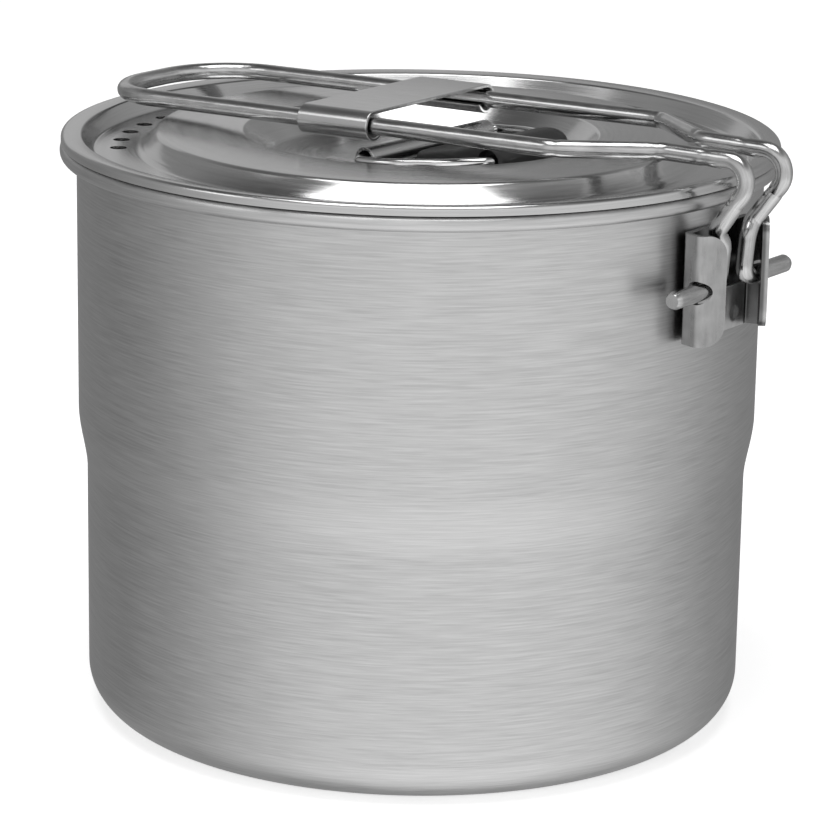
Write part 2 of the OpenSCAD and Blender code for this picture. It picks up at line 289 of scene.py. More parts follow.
def cut(obj, verts, faces, sharp=35.0):
    """Cuts a closed cutter, given in millimetres, out of a piece."""
    mesh = bpy.data.meshes.new("cutter")
    mesh.from_pydata([Vector(v) * MM for v in verts], [], faces)
    tidy_normals(mesh)
    cutter = bpy.data.objects.new("cutter", mesh)
    bpy.context.scene.collection.objects.link(cutter)
    modifier = obj.modifiers.new("cut", "BOOLEAN")
    modifier.operation = "DIFFERENCE"
    modifier.solver = "EXACT"
    modifier.object = cutter
    bpy.context.view_layer.update()
    depsgraph = bpy.context.evaluated_depsgraph_get()
    result = bpy.data.meshes.new_from_object(obj.evaluated_get(depsgraph))
    obj.modifiers.remove(modifier)
    obj.data = result
    bpy.data.objects.remove(cutter)
    smooth(result, sharp)
    return obj


def turned(verts, angle, shift=(0, 0, 0)):
    """Vertices moved by a shift, then turned about Z by an angle in degrees."""
    turn = Matrix.Rotation(radians(angle), 3, "Z")
    return [turn @ (Vector(v) + Vector(shift)) for v in verts]


# ---- Materials ----

class Nodes:
    """A material's node tree, with short calls to add and join nodes."""

    def __init__(self, name):
        self.material = bpy.data.materials.new(name)
        self.material.use_nodes = True
        self.tree = self.material.node_tree
        self.shader = self.tree.nodes["Principled BSDF"]

    def add(self, kind, links=None, **values):
        node = self.tree.nodes.new(kind)
        for key, value in values.items():
            setattr(node, key, value)
        for socket, source in (links or {}).items():
            if isinstance(source, (int, float, tuple)):
                node.inputs[socket].default_value = source
            else:
                self.tree.links.new(source, node.inputs[socket])
        return node

    def math(self, operation, a, b=0.0, c=0.0):
        return self.add("ShaderNodeMath", {0: a, 1: b, 2: c}, operation=operation).outputs[0]

    def vector(self, operation, a, b=(0.0, 0.0, 0.0)):
        node = self.add("ShaderNodeVectorMath", {0: a, 1: b}, operation=operation)
        return node.outputs["Value" if operation in ("LENGTH", "DOT_PRODUCT") else "Vector"]

    def noise(self, vector, scale=1.0, detail=2.0, roughness=0.5):
        node = self.add("ShaderNodeTexNoise",
                        {"Vector": vector, "Scale": scale, "Detail": detail, "Roughness": roughness})
        return node.outputs["Fac"]

    def spread(self, noise, to_low, to_high):
        """Stretches the middle of a noise's range over two values."""
        return self.remap(noise, 0.3, 0.7, to_low, to_high)

    def remap(self, value, low, high, to_low, to_high):
        node = self.add("ShaderNodeMapRange", {"Value": value, "From Min": low, "From Max": high,
                                               "To Min": to_low, "To Max": to_high})
        return node.outputs["Result"]

    def grey(self, value):
        node = self.add("ShaderNodeCombineColor", {0: value, 1: value, 2: value})
        return node.outputs["Color"]

    def set(self, **sockets):
        names = {"base": "Base Color", "roughness": "Roughness", "metallic": "Metallic",
                 "anisotropy": "Anisotropic", "turn": "Anisotropic Rotation", "normal": "Normal",
                 "tangent": "Tangent", "specular": "Specular IOR Level"}
        for key, value in sockets.items():
            socket = self.shader.inputs[names[key]]
            if hasattr(value, "is_linked"):
                self.tree.links.new(value, socket)
            else:
                socket.default_value = value
        return self.material


def turned_coordinates(nodes, around, across, down):
    """Coordinates that change slowly round the Z axis and quickly along the radius and height."""
    position = nodes.add("ShaderNodeTexCoord").outputs["Object"]
    flat = nodes.vector("MULTIPLY", position, (1.0, 1.0, 0.0))
    direction = nodes.vector("NORMALIZE", flat)
    radius = nodes.vector("LENGTH", flat)
    split = nodes.add("ShaderNodeSeparateXYZ", {0: direction})
    height = nodes.add("ShaderNodeSeparateXYZ", {0: position}).outputs["Z"]
    level = nodes.math("ADD", nodes.math("MULTIPLY", radius, across),
                       nodes.math("MULTIPLY", height, down))
    x = nodes.math("MULTIPLY", split.outputs["X"], around)
    y = nodes.math("MULTIPLY", split.outputs["Y"], around)
    return nodes.add("ShaderNodeCombineXYZ", {0: x, 1: y, 2: level}).outputs[0]


def brushed_metal(vector, nodes, base, roughness, contrast=0.07, bump=0.02, wear=1.0,
                  anisotropy=0.0, cloud_scale=38.0, stain=0.02, painted_shade=None, broad_share=0.4):
    """Steel with brushed lines along the slow axis of its coordinates, cloudy stains and edge wear, and
    painted shade where one is given.
    """
    position = nodes.add("ShaderNodeTexCoord").outputs["Object"]
    fine = nodes.noise(vector, 1.0, 3.0, 0.6)
    broad = nodes.noise(vector, 0.21, 2.0, 0.5)
    cloud = nodes.noise(position, cloud_scale, 3.0, 0.5)
    lines = nodes.math("ADD", nodes.spread(fine, -contrast, contrast),
                       nodes.spread(broad, -broad_share * contrast, broad_share * contrast))
    tone = nodes.math("ADD", lines, nodes.spread(cloud, -stain, stain))
    pointiness = nodes.add("ShaderNodeNewGeometry").outputs["Pointiness"]
    edge = nodes.remap(pointiness, 0.52, 0.62, 0.0, 0.12 * wear)
    value = nodes.math("MULTIPLY", nodes.math("ADD", nodes.math("ADD", tone, edge), 1.0), base)
    # painted shade, where a material passes one: its colour is darkened by that share
    if painted_shade:
        value = nodes.math("MULTIPLY", value, painted_shade)
    rough = nodes.math("ADD", nodes.spread(fine, roughness - 0.05, roughness + 0.05),
                       nodes.spread(cloud, -0.02, 0.02))
    relief = nodes.add("ShaderNodeBump", {"Strength": 1.0, "Distance": bump * MM, "Height": fine})
    nodes.set(metallic=1.0, base=nodes.grey(value), roughness=rough, normal=relief.outputs[0])
    if anisotropy:
        tangent = nodes.add("ShaderNodeTangent", direction_type="RADIAL", axis="Z").outputs[0]
        nodes.set(anisotropy=anisotropy, turn=0.25, tangent=tangent)
    return nodes.material


def turned_steel(name, base, roughness, around, across, down=4100.0, **look):
    """Pressed or spun steel, with brushed lines that run round the Z axis."""
    nodes = Nodes(name)
    vector = turned_coordinates(nodes, around, across, down)
    return brushed_metal(vector, nodes, base, roughness, **look)


def wire_steel(name, base, roughness, **look):
    """Drawn wire: lines along the wire, from the sweep's own UVs, and cloudy stains."""
    nodes = Nodes(name)
    uv = nodes.add("ShaderNodeUVMap", uv_map="along").outputs[0]
    vector = nodes.vector("MULTIPLY", uv, (26.0, 0.22, 1.0))
    return brushed_metal(vector, nodes, base, roughness, **look)


def sheet_steel(name, base, roughness, scale, **look):
    """Rolled sheet with lines along the axis whose scale is lowest."""
    nodes = Nodes(name)
    position = nodes.add("ShaderNodeTexCoord").outputs["Object"]
    vector = nodes.vector("MULTIPLY", position, scale)
    return brushed_metal(vector, nodes, base, roughness, **look)


def channel_steel(name, base, roughness, scale, **look):
    """The bracket's sheet, with painted shade that darkens the faces inside its channel, where the
    channel's depth shades them.

    A point is inside where it lies past both the ear's and the lip's outer line, in metres.
    """
    ear_slope = (BRACKET_EAR[1] - BRACKET_BASE[1]) / (BRACKET_EAR[0] - BRACKET_BASE[0])
    ear_level = (BRACKET_BASE[1] - ear_slope * BRACKET_BASE[0]) * MM
    lip_slope = (BRACKET_LIP[0] - BRACKET_EAR[0]) / (BRACKET_LIP[1] - BRACKET_EAR[1])
    lip_level = (BRACKET_EAR[0] - lip_slope * BRACKET_EAR[1]) * MM
    nodes = Nodes(name)
    position = nodes.add("ShaderNodeTexCoord").outputs["Object"]
    split = nodes.add("ShaderNodeSeparateXYZ", {0: position})
    x = split.outputs["X"]
    y = nodes.math("ABSOLUTE", split.outputs["Y"])
    ear = nodes.math("SUBTRACT", nodes.math("MULTIPLY_ADD", x, ear_slope, ear_level), y)
    lip = nodes.math("SUBTRACT", nodes.math("MULTIPLY_ADD", y, lip_slope, lip_level), x)
    inside = nodes.math("MINIMUM", ear, lip)
    # painted shade: the faces inside the channel are darkened to a share of their brightness
    painted_shade = nodes.remap(inside, 0.5 * MM, 0.9 * MM, 1.0, CHANNEL_PAINTED_SHADE)
    vector = nodes.vector("MULTIPLY", position, scale)
    return brushed_metal(vector, nodes, base, roughness, painted_shade=painted_shade, **look)


def moulded(name, color, roughness, grain, bump, specular=0.5):
    """Moulded plastic or rubber: fine grain, cloudy tone and lighter worn edges."""
    nodes = Nodes(name)
    position = nodes.add("ShaderNodeTexCoord").outputs["Object"]
    fine = nodes.noise(position, grain, 3.0, 0.6)
    cloud = nodes.noise(position, 60.0, 2.0, 0.5)
    pointiness = nodes.add("ShaderNodeNewGeometry").outputs["Pointiness"]
    worn = nodes.remap(pointiness, 0.52, 0.65, 0.0, 0.35)
    tone = nodes.math("ADD", nodes.math("ADD", nodes.spread(cloud, 0.88, 1.1), worn),
                      nodes.spread(fine, -0.06, 0.06))
    channels = [nodes.math("MULTIPLY", tone, c) for c in color]
    mixed = nodes.add("ShaderNodeCombineColor", {0: channels[0], 1: channels[1], 2: channels[2]})
    rough = nodes.spread(fine, roughness - 0.06, roughness + 0.06)
    relief = nodes.add("ShaderNodeBump", {"Strength": 1.0, "Distance": bump * MM, "Height": fine})
    nodes.set(base=mixed.outputs["Color"], roughness=rough, normal=relief.outputs[0])
    return nodes.set(specular=specular)


# Share of its brightness that the bracket's sheet keeps inside the channel, as painted shade for the
# channel's depth
CHANNEL_PAINTED_SHADE = 0.38

POT_STEEL = turned_steel("pot_steel", 0.56, 0.36, around=6.0, across=3300.0, down=3300.0,
                         bump=0.006, contrast=0.13, anisotropy=0.6, broad_share=0.05)
LID_STEEL = turned_steel("lid_steel", 0.56, 0.2, around=4.0, across=2600.0, bump=0.003,
                         contrast=0.045, anisotropy=0.6)
WIRE_STEEL = wire_steel("wire_steel", 0.5, 0.2, bump=0.015, contrast=0.14, cloud_scale=260.0,
                        stain=0.08)
RING_STEEL = wire_steel("ring_steel", 0.6, 0.16, bump=0.006, contrast=0.08)
LOCK_STEEL = sheet_steel("lock_steel", 0.56, 0.2, (130.0, 1500.0, 1500.0), bump=0.0004,
                         contrast=0.025, wear=0.4)
BRACKET_STEEL = channel_steel("bracket_steel", 0.38, 0.3, (900.0, 900.0, 150.0), bump=0.008,
                              contrast=0.1, cloud_scale=240.0, stain=0.16)
HINGE_STEEL = sheet_steel("hinge_steel", 0.42, 0.24, (1400.0, 110.0, 1400.0), bump=0.0006,
                          contrast=0.03, wear=0.5)
PLATE_STEEL = sheet_steel("plate_steel", 0.66, 0.34, (110.0, 700.0, 160.0), bump=0.003,
                          contrast=0.06, cloud_scale=300.0, stain=0.14)
SPORK_STEEL = sheet_steel("spork_steel", 0.66, 0.26, (110.0, 1500.0, 1500.0), bump=0.006,
                          contrast=0.05)
GRIP_RUBBER = moulded("grip_rubber", (0.02, 0.02, 0.02), 0.45, 2600.0, 0.03, 0.4)
BOWL_SHELL = moulded("bowl_shell", (0.07, 0.12, 0.075), 0.5, 1900.0, 0.03)
BOWL_LINER = moulded("bowl_liner", (0.55, 0.53, 0.47), 0.35, 2400.0, 0.015)


# ---- Pot ----

POT_T = 0.7
CORNER_R = 7.6
BEAD_H = 2.7
BEAD_ROUND = 1.25
NECK_ROUND = 0.4
LIP_EDGE_R = 0.6
DISH_DEPTH = 0.35
DISH_STEP_OUT = 1.0
DISH_STEP_IN = 3.4


def pot_profile():
    """Outside from the middle of the base to the rolled rim, then down the inside."""
    inside = FOOT_R - POT_T
    flat_r = FOOT_R - CORNER_R
    bead_z = RIM_Z - BEAD_H
    outline = [(0, DISH_DEPTH), (flat_r - DISH_STEP_IN, DISH_DEPTH)]
    outline += s_curve((flat_r - DISH_STEP_IN, DISH_DEPTH), (flat_r - DISH_STEP_OUT, 0.0), 6)
    outline += arc(flat_r, CORNER_R, CORNER_R, -90, 0, 20)
    outline += [(FOOT_R, z) for z in (20.0, 32.0, SHOULDER_LOW)]
    outline += s_curve((FOOT_R, SHOULDER_LOW), (POT_R, SHOULDER_HIGH), 20)
    outline += [(POT_R, SHOULDER_HIGH), (POT_R, 78.0), (POT_R, bead_z - 0.55)]
    outline += arc(POT_R + NECK_ROUND, bead_z - 0.5, NECK_ROUND, 180, 100, 4)
    outline += arc(RIM_R - BEAD_ROUND, bead_z + BEAD_ROUND, BEAD_ROUND, -80, 0, 8)
    outline += arc(RIM_R - BEAD_ROUND, RIM_Z - BEAD_ROUND, BEAD_ROUND, 0, 90, 8)
    outline += arc(POT_R - POT_T + LIP_EDGE_R, RIM_Z - LIP_EDGE_R, LIP_EDGE_R, 90, 180, 6)
    outline += [(POT_R - POT_T, SHOULDER_HIGH)]
    outline += s_curve((POT_R - POT_T, SHOULDER_HIGH), (inside, SHOULDER_LOW), 20)
    outline += [(inside, SHOULDER_LOW)]
    outline += arc(flat_r, CORNER_R, CORNER_R - POT_T, 0, -90, 20)
    return outline + [(flat_r - 3.0, POT_T + 0.25), (0, POT_T + 0.3)]


def make_pot():
    """The pot, turned from its profile."""
    verts, faces = lathe(pot_profile())
    make_piece("pot_wall", verts, faces, POT_STEEL, "pot", ["pot_body"])


# ---- Lid ----

LID_T = 0.6
RECESS_R = 31.5
RECESS_SLOPE_W = 5.0
PLATEAU_R = 47.6
PLATEAU_ROUND = 1.4
TROUGH_ROUND = 2.2
EDGE_ROUND = 0.9
EDGE_GAP = 0.15

# Strainer holes: their radius, the circle that they sit on, how many, and the degrees between them
STRAIN_R = 1.5
STRAIN_CIRCLE = 53.6
STRAIN_COUNT = 7
STRAIN_PITCH = 8.0


def lid_profile():
    """Top face of the lid's sheet, from its middle out to the turned-down edge."""
    edge_r = RIM_R - LID_T / 3
    trough_out = POT_R - 2.5
    band_in = POT_R - 0.97
    path = [(0, RECESS_Z), (RECESS_R - RECESS_SLOPE_W - 6, RECESS_Z)]
    path += arc(RECESS_R - RECESS_SLOPE_W, RECESS_Z + 1, 1, -90, -45, 8)
    path += arc(RECESS_R + 0.4, PLATEAU_Z - 1.2, 1, 135, 90, 8)
    path += [(RECESS_R + 6, PLATEAU_Z), (PLATEAU_R - 4, PLATEAU_Z)]
    path += arc(PLATEAU_R - PLATEAU_ROUND, PLATEAU_Z - PLATEAU_ROUND, PLATEAU_ROUND, 88, 40, 8)
    path += [(PLATEAU_R + 0.9, TROUGH_Z + 1.1)]
    path += arc(PLATEAU_R + 3.2, TROUGH_Z + TROUGH_ROUND, TROUGH_ROUND, -138, -92, 7)
    path += arc(trough_out - EDGE_ROUND, TROUGH_Z + EDGE_ROUND, EDGE_ROUND, -90, -25, 7)
    path += arc(band_in + 0.5, BAND_Z - 1, 0.7, 155, 100, 7)
    path += arc(edge_r - EDGE_ROUND, BAND_Z - EDGE_ROUND, EDGE_ROUND, 90, 0, 8)
    return path + [(edge_r, RIM_Z + EDGE_GAP)]


def strainer_cutters():
    """Seven round cutters in a row near the lid's edge."""
    verts, faces = [], []
    circle = arc(0, 0, STRAIN_R, 0, 360, 40)[:-1]
    for i in range(STRAIN_COUNT):
        a = radians(180 + STRAIN_PITCH * (i - 1))
        cx, cy = STRAIN_CIRCLE * cos(a), STRAIN_CIRCLE * sin(a)
        part, sides = prism(circle, TROUGH_Z - 3, TROUGH_Z + 3,
                            lambda u, v, w: (cx + u, cy + v, w))
        faces += [tuple(len(verts) + k for k in face) for face in sides]
        verts += part
    return verts, faces


def make_lid():
    """The lid's pressed sheet, with its strainer holes cut through."""
    verts, faces = lathe(sheet(lid_profile(), -LID_T))
    lid = make_piece("lid_pressing", verts, faces, LID_STEEL, "lid", ["lid_shell"])
    cut(lid, *strainer_cutters())


# ---- Lid ring ----

RING_WIRE_R = 0.95
RING_TILT = 4.0
RING_REACH = 21.6
TUBE_L = 34.8
TUBE_T = 0.55
PLATE_T = 0.33
PLATE_L = 12.0
PLATE_CORNER_R = 1.5


def make_ring_clip():
    """A rolled hinge tube with its seam below, on a spot-welded plate on the recess's floor."""
    ring = arc(0, 0, TUBE_R, -112, 232, 60)
    section = sheet(ring, TUBE_T)
    verts, faces = prism(section, -TUBE_L / 2, TUBE_L / 2, lambda u, v, w: (u, w, v + HINGE_Z), 24)
    verts = turned(verts, RING_TURN, (HINGE_X, 0, 0))
    tube = make_piece("hinge_tube", verts, faces, HINGE_STEEL, "lid", ["lid_ring_clip"])
    soften(tube, 0.08, 2)
    half = TUBE_L / 2 - 3
    corner_x = -PLATE_L + PLATE_CORNER_R
    corner_y = half - PLATE_CORNER_R
    plan = arc(corner_x, corner_y, PLATE_CORNER_R, 90, 180, 6)
    plan += arc(corner_x, -corner_y, PLATE_CORNER_R, 180, 270, 6)
    plan += [(-1.2, -half), (-1.2, half)]
    plate_z = RECESS_Z + FLOOR_GAP
    verts, faces = prism(plan, plate_z, plate_z + PLATE_T, lambda u, v, w: (u, v, w))
    verts = turned(verts, RING_TURN, (HINGE_X, 0, 0))
    plate = make_piece("hinge_plate", verts, faces, LID_STEEL, "lid")
    soften(plate, 0.15, 2)


def ring_path():
    """Centre line of the ring: an axle through the tube, two sides that close in, an end bar."""
    side_y = TUBE_L / 2 + 2.7
    half = [(0, 0, 0), (0, side_y - 0.2, 0), (7, side_y, 0), (RING_REACH - 4.8, side_y - 3.7, 0),
            (RING_REACH + 0.7, 11.3, 0), (RING_REACH, 0, 0)]
    one = round_path(half, [0, 1.8, 14, 14, 2.5, 0], 10, 0.8)
    other = [Vector((p.x, -p.y, p.z)) for p in one[-2:0:-1]]
    tilt = Matrix.Rotation(radians(-RING_TILT), 3, "Y")
    return [tilt @ p + Vector((0, 0, HINGE_Z)) for p in one + other]


def make_ring_wire():
    """The lid's ring, in one closed loop."""
    verts, faces, uvs = sweep(ring_path(), lambda s: RING_WIRE_R, 24, closed=True)
    verts = turned(verts, RING_TURN, (HINGE_X, 0, 0))
    make_piece("ring_wire", verts, faces, RING_STEEL, "ring", ["lid_ring_wire"], 60,
               uvs)


GRIP_IN = 3.6
GRIP_OUT = 24.4
GRIP_HALF = 10.7
GRIP_END_R = 3.3
GRIP_NEAR_L = 8.0
GRIP_NEAR_TAPER = 4.4
GRIP_CORNER_R = 2.4
GRIP_NEAR_H = 2.3
GRIP_POCKET_R = 2.0
GRIP_POCKET_DEPTH = 2.0
GRIP_BORE_R = 1.0


def grip_station(share):
    """Half width, bottom and top of the grip at a share of its length."""
    length = GRIP_OUT - GRIP_IN
    x = GRIP_IN + length * share
    run = x - GRIP_IN
    width = GRIP_HALF
    if run < GRIP_NEAR_L:
        width -= GRIP_NEAR_TAPER * (1 - sqrt(1 - (1 - run / GRIP_NEAR_L) ** 2))
    left = GRIP_OUT - x
    if left < GRIP_CORNER_R:
        width -= GRIP_CORNER_R * (1 - sqrt(1 - (1 - left / GRIP_CORNER_R) ** 2))
    floor = RECESS_Z + 0.35
    middle = floor + GRIP_END_R
    low, high = floor, floor + GRIP_NEAR_H + 0.2 * run + 0.17 * max(0.0, run - 10)
    if left < 2 * GRIP_END_R:
        bulge = sqrt(max(0.0, GRIP_END_R ** 2 - max(0.0, GRIP_END_R - left) ** 2))
        high = min(high, middle + bulge)
        low = middle - bulge
    start = min(1.0, run / 0.9)
    low += 0.9 * (1 - start) ** 2
    high -= 0.8 * (1 - sqrt(1 - (1 - start) ** 2))
    return x, width, low, high


def grip_pockets():
    """The bore for the end bar, with a wider pocket at each side of the grip."""
    past, step = 12.0, GRIP_HALF - GRIP_POCKET_DEPTH
    rings = [(-past, GRIP_POCKET_R), (-step, GRIP_POCKET_R), (-step, GRIP_BORE_R),
             (step, GRIP_BORE_R), (step, GRIP_POCKET_R), (past, GRIP_POCKET_R)]
    sides = 40
    tilt = Matrix.Rotation(radians(-RING_TILT), 3, "Y")
    verts, faces = [], []
    for y, r in rings:
        for u, v in arc(0, 0, r, 0, 360, sides)[:-1]:
            verts.append(tilt @ Vector((RING_REACH + u, y, v)) + Vector((0, 0, HINGE_Z)))
    for i in range(len(rings) - 1):
        for k in range(sides):
            m = (k + 1) % sides
            faces.append((i * sides + k, i * sides + m, (i + 1) * sides + m, (i + 1) * sides + k))
    faces.append(tuple(range(sides)))
    faces.append(tuple(range((len(rings) - 1) * sides, len(rings) * sides)))
    return turned(verts, RING_TURN, (HINGE_X, 0, 0)), faces


def make_grip():
    """The moulded grip, lofted along its length, with a mould line round its sides."""
    stations, sides = 60, 72
    squareness = 0.3
    seam_z, seam_half_w, seam_rise = HINGE_Z + 1.5, 0.16, 0.1
    verts, faces = [], []
    for i in range(stations + 1):
        share = 0.5 - 0.5 * cos(pi * i / stations)
        x, width, low, high = grip_station(share)
        middle, half_h = (low + high) / 2, max(0.3, (high - low) / 2)
        for k in range(sides):
            a = tau * (k + 0.5) / sides
            y = width * (1 if cos(a) > 0 else -1) * abs(cos(a)) ** squareness
            z = middle + half_h * (1 if sin(a) > 0 else -1) * abs(sin(a)) ** (squareness + 0.2)
            if abs(z - seam_z) < seam_half_w:
                y *= 1 + seam_rise / GRIP_HALF
            verts.append((x, y, z))
    for i in range(stations):
        for k in range(sides):
            m = (k + 1) % sides
            faces.append((i * sides + k, i * sides + m, (i + 1) * sides + m, (i + 1) * sides + k))
    faces.append(tuple(range(sides)))
    faces.append(tuple(range(stations * sides, (stations + 1) * sides)))
    verts = turned(verts, RING_TURN, (HINGE_X, 0, 0))
    grip = make_piece("ring_grip", verts, faces, GRIP_RUBBER, "ring",
                      ["lid_ring_grip"], 50)
    cut(grip, *grip_pockets(), 50)


# ---- Handle ----

def arm_height(x):
    """Height of an arm's centre line."""
    return ARM_Z + ARM_RISE * x


KINK_X = 39.6
NECK_X = 54.2
NECK_Z = 109.6
MARK_DEPTH = 0.12
MARK_HALF_L = 0.9
TIP_CHAMFER = 0.35


def handle_path():
    """Centre line of the whole handle wire, from one pin's tip round the loop to the other's."""
    loop_x = handle_low.x + WIRE_R
    pin_y = handle_high.y
    half = [(PIVOT_X, pin_y, PIVOT_Z), (PIVOT_X, 4.15, PIVOT_Z), (65.25, 4.05, 94.8),
            (65.0, 5.9, 97.1), (68.9, 6.55, 102.5), (73.8, 5.8, 109.55), (NECK_X, 6.4, NECK_Z),
            (KINK_X, ARM_Y, arm_height(KINK_X)), (loop_x, ARM_Y, arm_height(loop_x)),
            (loop_x, 0, arm_height(loop_x))]
    radii = [0, 2.6, 2.5, 2.5, 6, 3.6, 5, 8, 13.5, 0]
    one = round_path(half, radii, 12, 0.7)
    return one + [Vector((p.x, -p.y, p.z)) for p in one[-2::-1]]


def distance_at(path, place):
    """Distance along the path of its point nearest to a place."""
    best, result, total = 1e9, 0.0, 0.0
    for i, point in enumerate(path):
        if i:
            total += (point - path[i - 1]).length
        gap = (point - Vector(place)).length
        if gap < best:
            best, result = gap, total
    return result


def make_handle():
    """The handle in one wire, with a shallow forming mark at each kink."""
    path = handle_path()
    total = sum((b - a).length for a, b in zip(path, path[1:]))
    forming = [(KINK_X, ARM_Y - 0.6, arm_height(KINK_X)), (NECK_X - 1.4, 6.6, NECK_Z),
               (62.4, 6.0, 109.5), (68.9, 6.5, 102.5)]
    marks = [distance_at(path, (x, side * y, z)) for x, y, z in forming for side in (-1, 1)]

    def radius(s):
        """The wire's radius at a distance along it, less at its tips and at the marks."""
        tip = min(s, total - s)
        r = WIRE_R - TIP_CHAMFER * max(0.0, 1 - tip / 0.5) ** 1.5
        for mark in marks:
            r -= MARK_DEPTH * max(0.0, 1 - abs(s - mark) / MARK_HALF_L)
        return r

    verts, faces, uvs = sweep(path, radius, 32)
    make_piece("handle_loop", verts, faces, WIRE_STEEL, "handle", ["handle_wire"], 50,
               uvs)


LOCK_T = 0.6
LOCK_X = -12.7
LOCK_L = 15.0
LOCK_CURL = WIRE_R + 0.5
LOCK_OPEN_ANGLE = 200.0


def make_lock():
    """The strap: a flat top whose sides curl round and under both arms."""
    inner = arc(ARM_Y, 0, LOCK_CURL, LOCK_OPEN_ANGLE - 360, 90, 36)
    inner += arc(-ARM_Y, 0, LOCK_CURL, 90, 540 - LOCK_OPEN_ANGLE, 36)
    section = sheet(inner, -LOCK_T)
    slope = atan(ARM_RISE)
    origin = Vector((LOCK_X, 0, arm_height(LOCK_X)))

    def place(u, v, w):
        return origin + Vector((w * cos(slope) - v * sin(slope), u, w * sin(slope) + v * cos(slope)))

    verts, faces = prism(section, 0, LOCK_L, place, 12)
    lock = make_piece("lock_strap", verts, faces, LOCK_STEEL, "lock", ["slide_lock"], 40)
    soften(lock, 0.12, 2, 50)


# ---- Bracket ----

BRACKET_T = 1.2
LIP_ROUND = 3.5
EAR_HOLE_R = 2.0
WELD_R = 1.3
WELD_DEPTH = 0.22


def bracket_outline():
    """Outer face of the bent sheet from above: lip, ear, bend, then half of the base."""
    points = [(*BRACKET_LIP, 0), (*BRACKET_EAR, 0), (*BRACKET_BASE, 0), (BRACKET_BASE[0], 0, 0)]
    half = round_path(points, [0, 1.3, 1.5, 0], 8, 0.25)
    half = [(p.x, p.y) for p in half]
    return half + [(x, -y) for x, y in half[-2::-1]]


def make_bracket():
    """The channel as a grid of columns, so that the lips' corners can be round."""
    outer = bracket_outline()
    inner = offset(outer, BRACKET_T)
    low, high = bracket_low.z, bracket_high.z
    runs = [0.0]
    for a, b in zip(outer, outer[1:]):
        runs.append(runs[-1] + hypot(b[0] - a[0], b[1] - a[1]))

    def trim(run):
        """How far the sheet's end is cut back near a lip's edge."""
        from_edge = min(run, runs[-1] - run)
        if from_edge >= LIP_ROUND:
            return 0.0
        return LIP_ROUND - sqrt(LIP_ROUND ** 2 - (LIP_ROUND - from_edge) ** 2)

    rows = 12
    verts, faces = [], []
    for line in (outer, inner):
        for (x, y), run in zip(line, runs):
            bottom, top = low + trim(run), high - trim(run)
            verts += [(x, y, bottom + (top - bottom) * k / rows) for k in range(rows + 1)]
    count, tall = len(outer), rows + 1
    for side in (0, count):
        for i in range(count - 1):
            for k in range(rows):
                a, b = (side + i) * tall + k, (side + i + 1) * tall + k
                faces.append((a, b, b + 1, a + 1))
    for i in range(count - 1):
        for k in (0, rows):
            a, b = i * tall + k, (i + 1) * tall + k
            faces.append((a, b, b + count * tall, a + count * tall))
    for i in (0, count - 1):
        for k in range(rows):
            a = i * tall + k
            faces.append((a, a + 1, a + 1 + count * tall, a + count * tall))
    bracket = make_piece("bracket_channel", verts, faces, BRACKET_STEEL, "pot",
                         ["handle_bracket"])
    hole = arc(PIVOT_X, PIVOT_Z, EAR_HOLE_R, 0, 360, 48)[:-1]
    cut(bracket, *prism(hole, -20, 20, lambda u, v, w: (u, w, v)))
    soften(bracket, 0.12, 2, 50)


def make_stop_plate():
    """Plate in the channel's lower half, with two spot-weld dimples."""
    low, high = node_box("bracket_stop_plate")
    columns, rows = 60, 30
    welds = [(low.y + 3.2, low.z + 2.6), (high.y - 3.2, low.z + 2.6)]
    verts, faces = [], []
    for face_x, front in ((low.x, False), (high.x, True)):
        for i in range(columns + 1):
            for k in range(rows + 1):
                y = low.y + (high.y - low.y) * i / columns
                z = low.z + (high.z - low.z) * k / rows
                dent = max(1 - hypot(y - wy, z - wz) / WELD_R for wy, wz in welds)
                depth = WELD_DEPTH * max(0.0, dent) ** 0.5 if front else 0.0
                verts.append((face_x - depth, y, z))
    tall = rows + 1
    side = (columns + 1) * tall
    for base in (0, side):
        for i in range(columns):
            for k in range(rows):
                a = base + i * tall + k
                faces.append((a, a + 1, a + 1 + tall, a + tall))
    for i in range(columns):
        for k in (0, rows):
            a = i * tall + k
            faces.append((a, a + tall, a + tall + side, a + side))
    for i in (0, columns):
        for k in range(rows):
            a = i * tall + k
            faces.append((a, a + 1, a + 1 + side, a + side))
    plate = make_piece("stop_plate", verts, faces, PLATE_STEEL, "pot",
                       ["bracket_stop_plate"])
    soften(plate, 0.12, 2, 60)


# ---- Bowls ----

BOWL_H = 46.0
BOWL_LIP_R = 57.0
SHELL_T = 1.4
LINER_T = 1.3
LINER_FLOOR_Z = 6.4
LINER_CORNER_R = 6.0
GROOVE_Z = 22.0
GROOVE_H = 2.4
GROOVE_DEPTH = 0.25


def bowl_shell_profile(z):
    """Sheet outline of a bowl's outer shell, standing at a height, with a groove round its wall."""
    foot_r, wall_r, top = BOWL_LIP_R - 7, BOWL_LIP_R - 2.6, BOWL_H - 3
    path = [(0, 0.5), (foot_r - 6, 0.5), (foot_r - 5, 0)]
    path += arc(foot_r - 1, 1, 1, -90, 0, 8)
    path += [(foot_r, 4)]
    path += arc(wall_r - 2, 6, 2, -90, 0, 10)
    path += [(wall_r + 0.5, GROOVE_Z)]
    path += [(wall_r + 0.5 - GROOVE_DEPTH * sin(pi * k / 6), GROOVE_Z + k * GROOVE_H / 6)
             for k in range(1, 6)]
    path += [(wall_r + 0.55, GROOVE_Z + GROOVE_H), (wall_r + 1, top)]
    return [(r, height + z) for r, height in sheet(path, SHELL_T)]


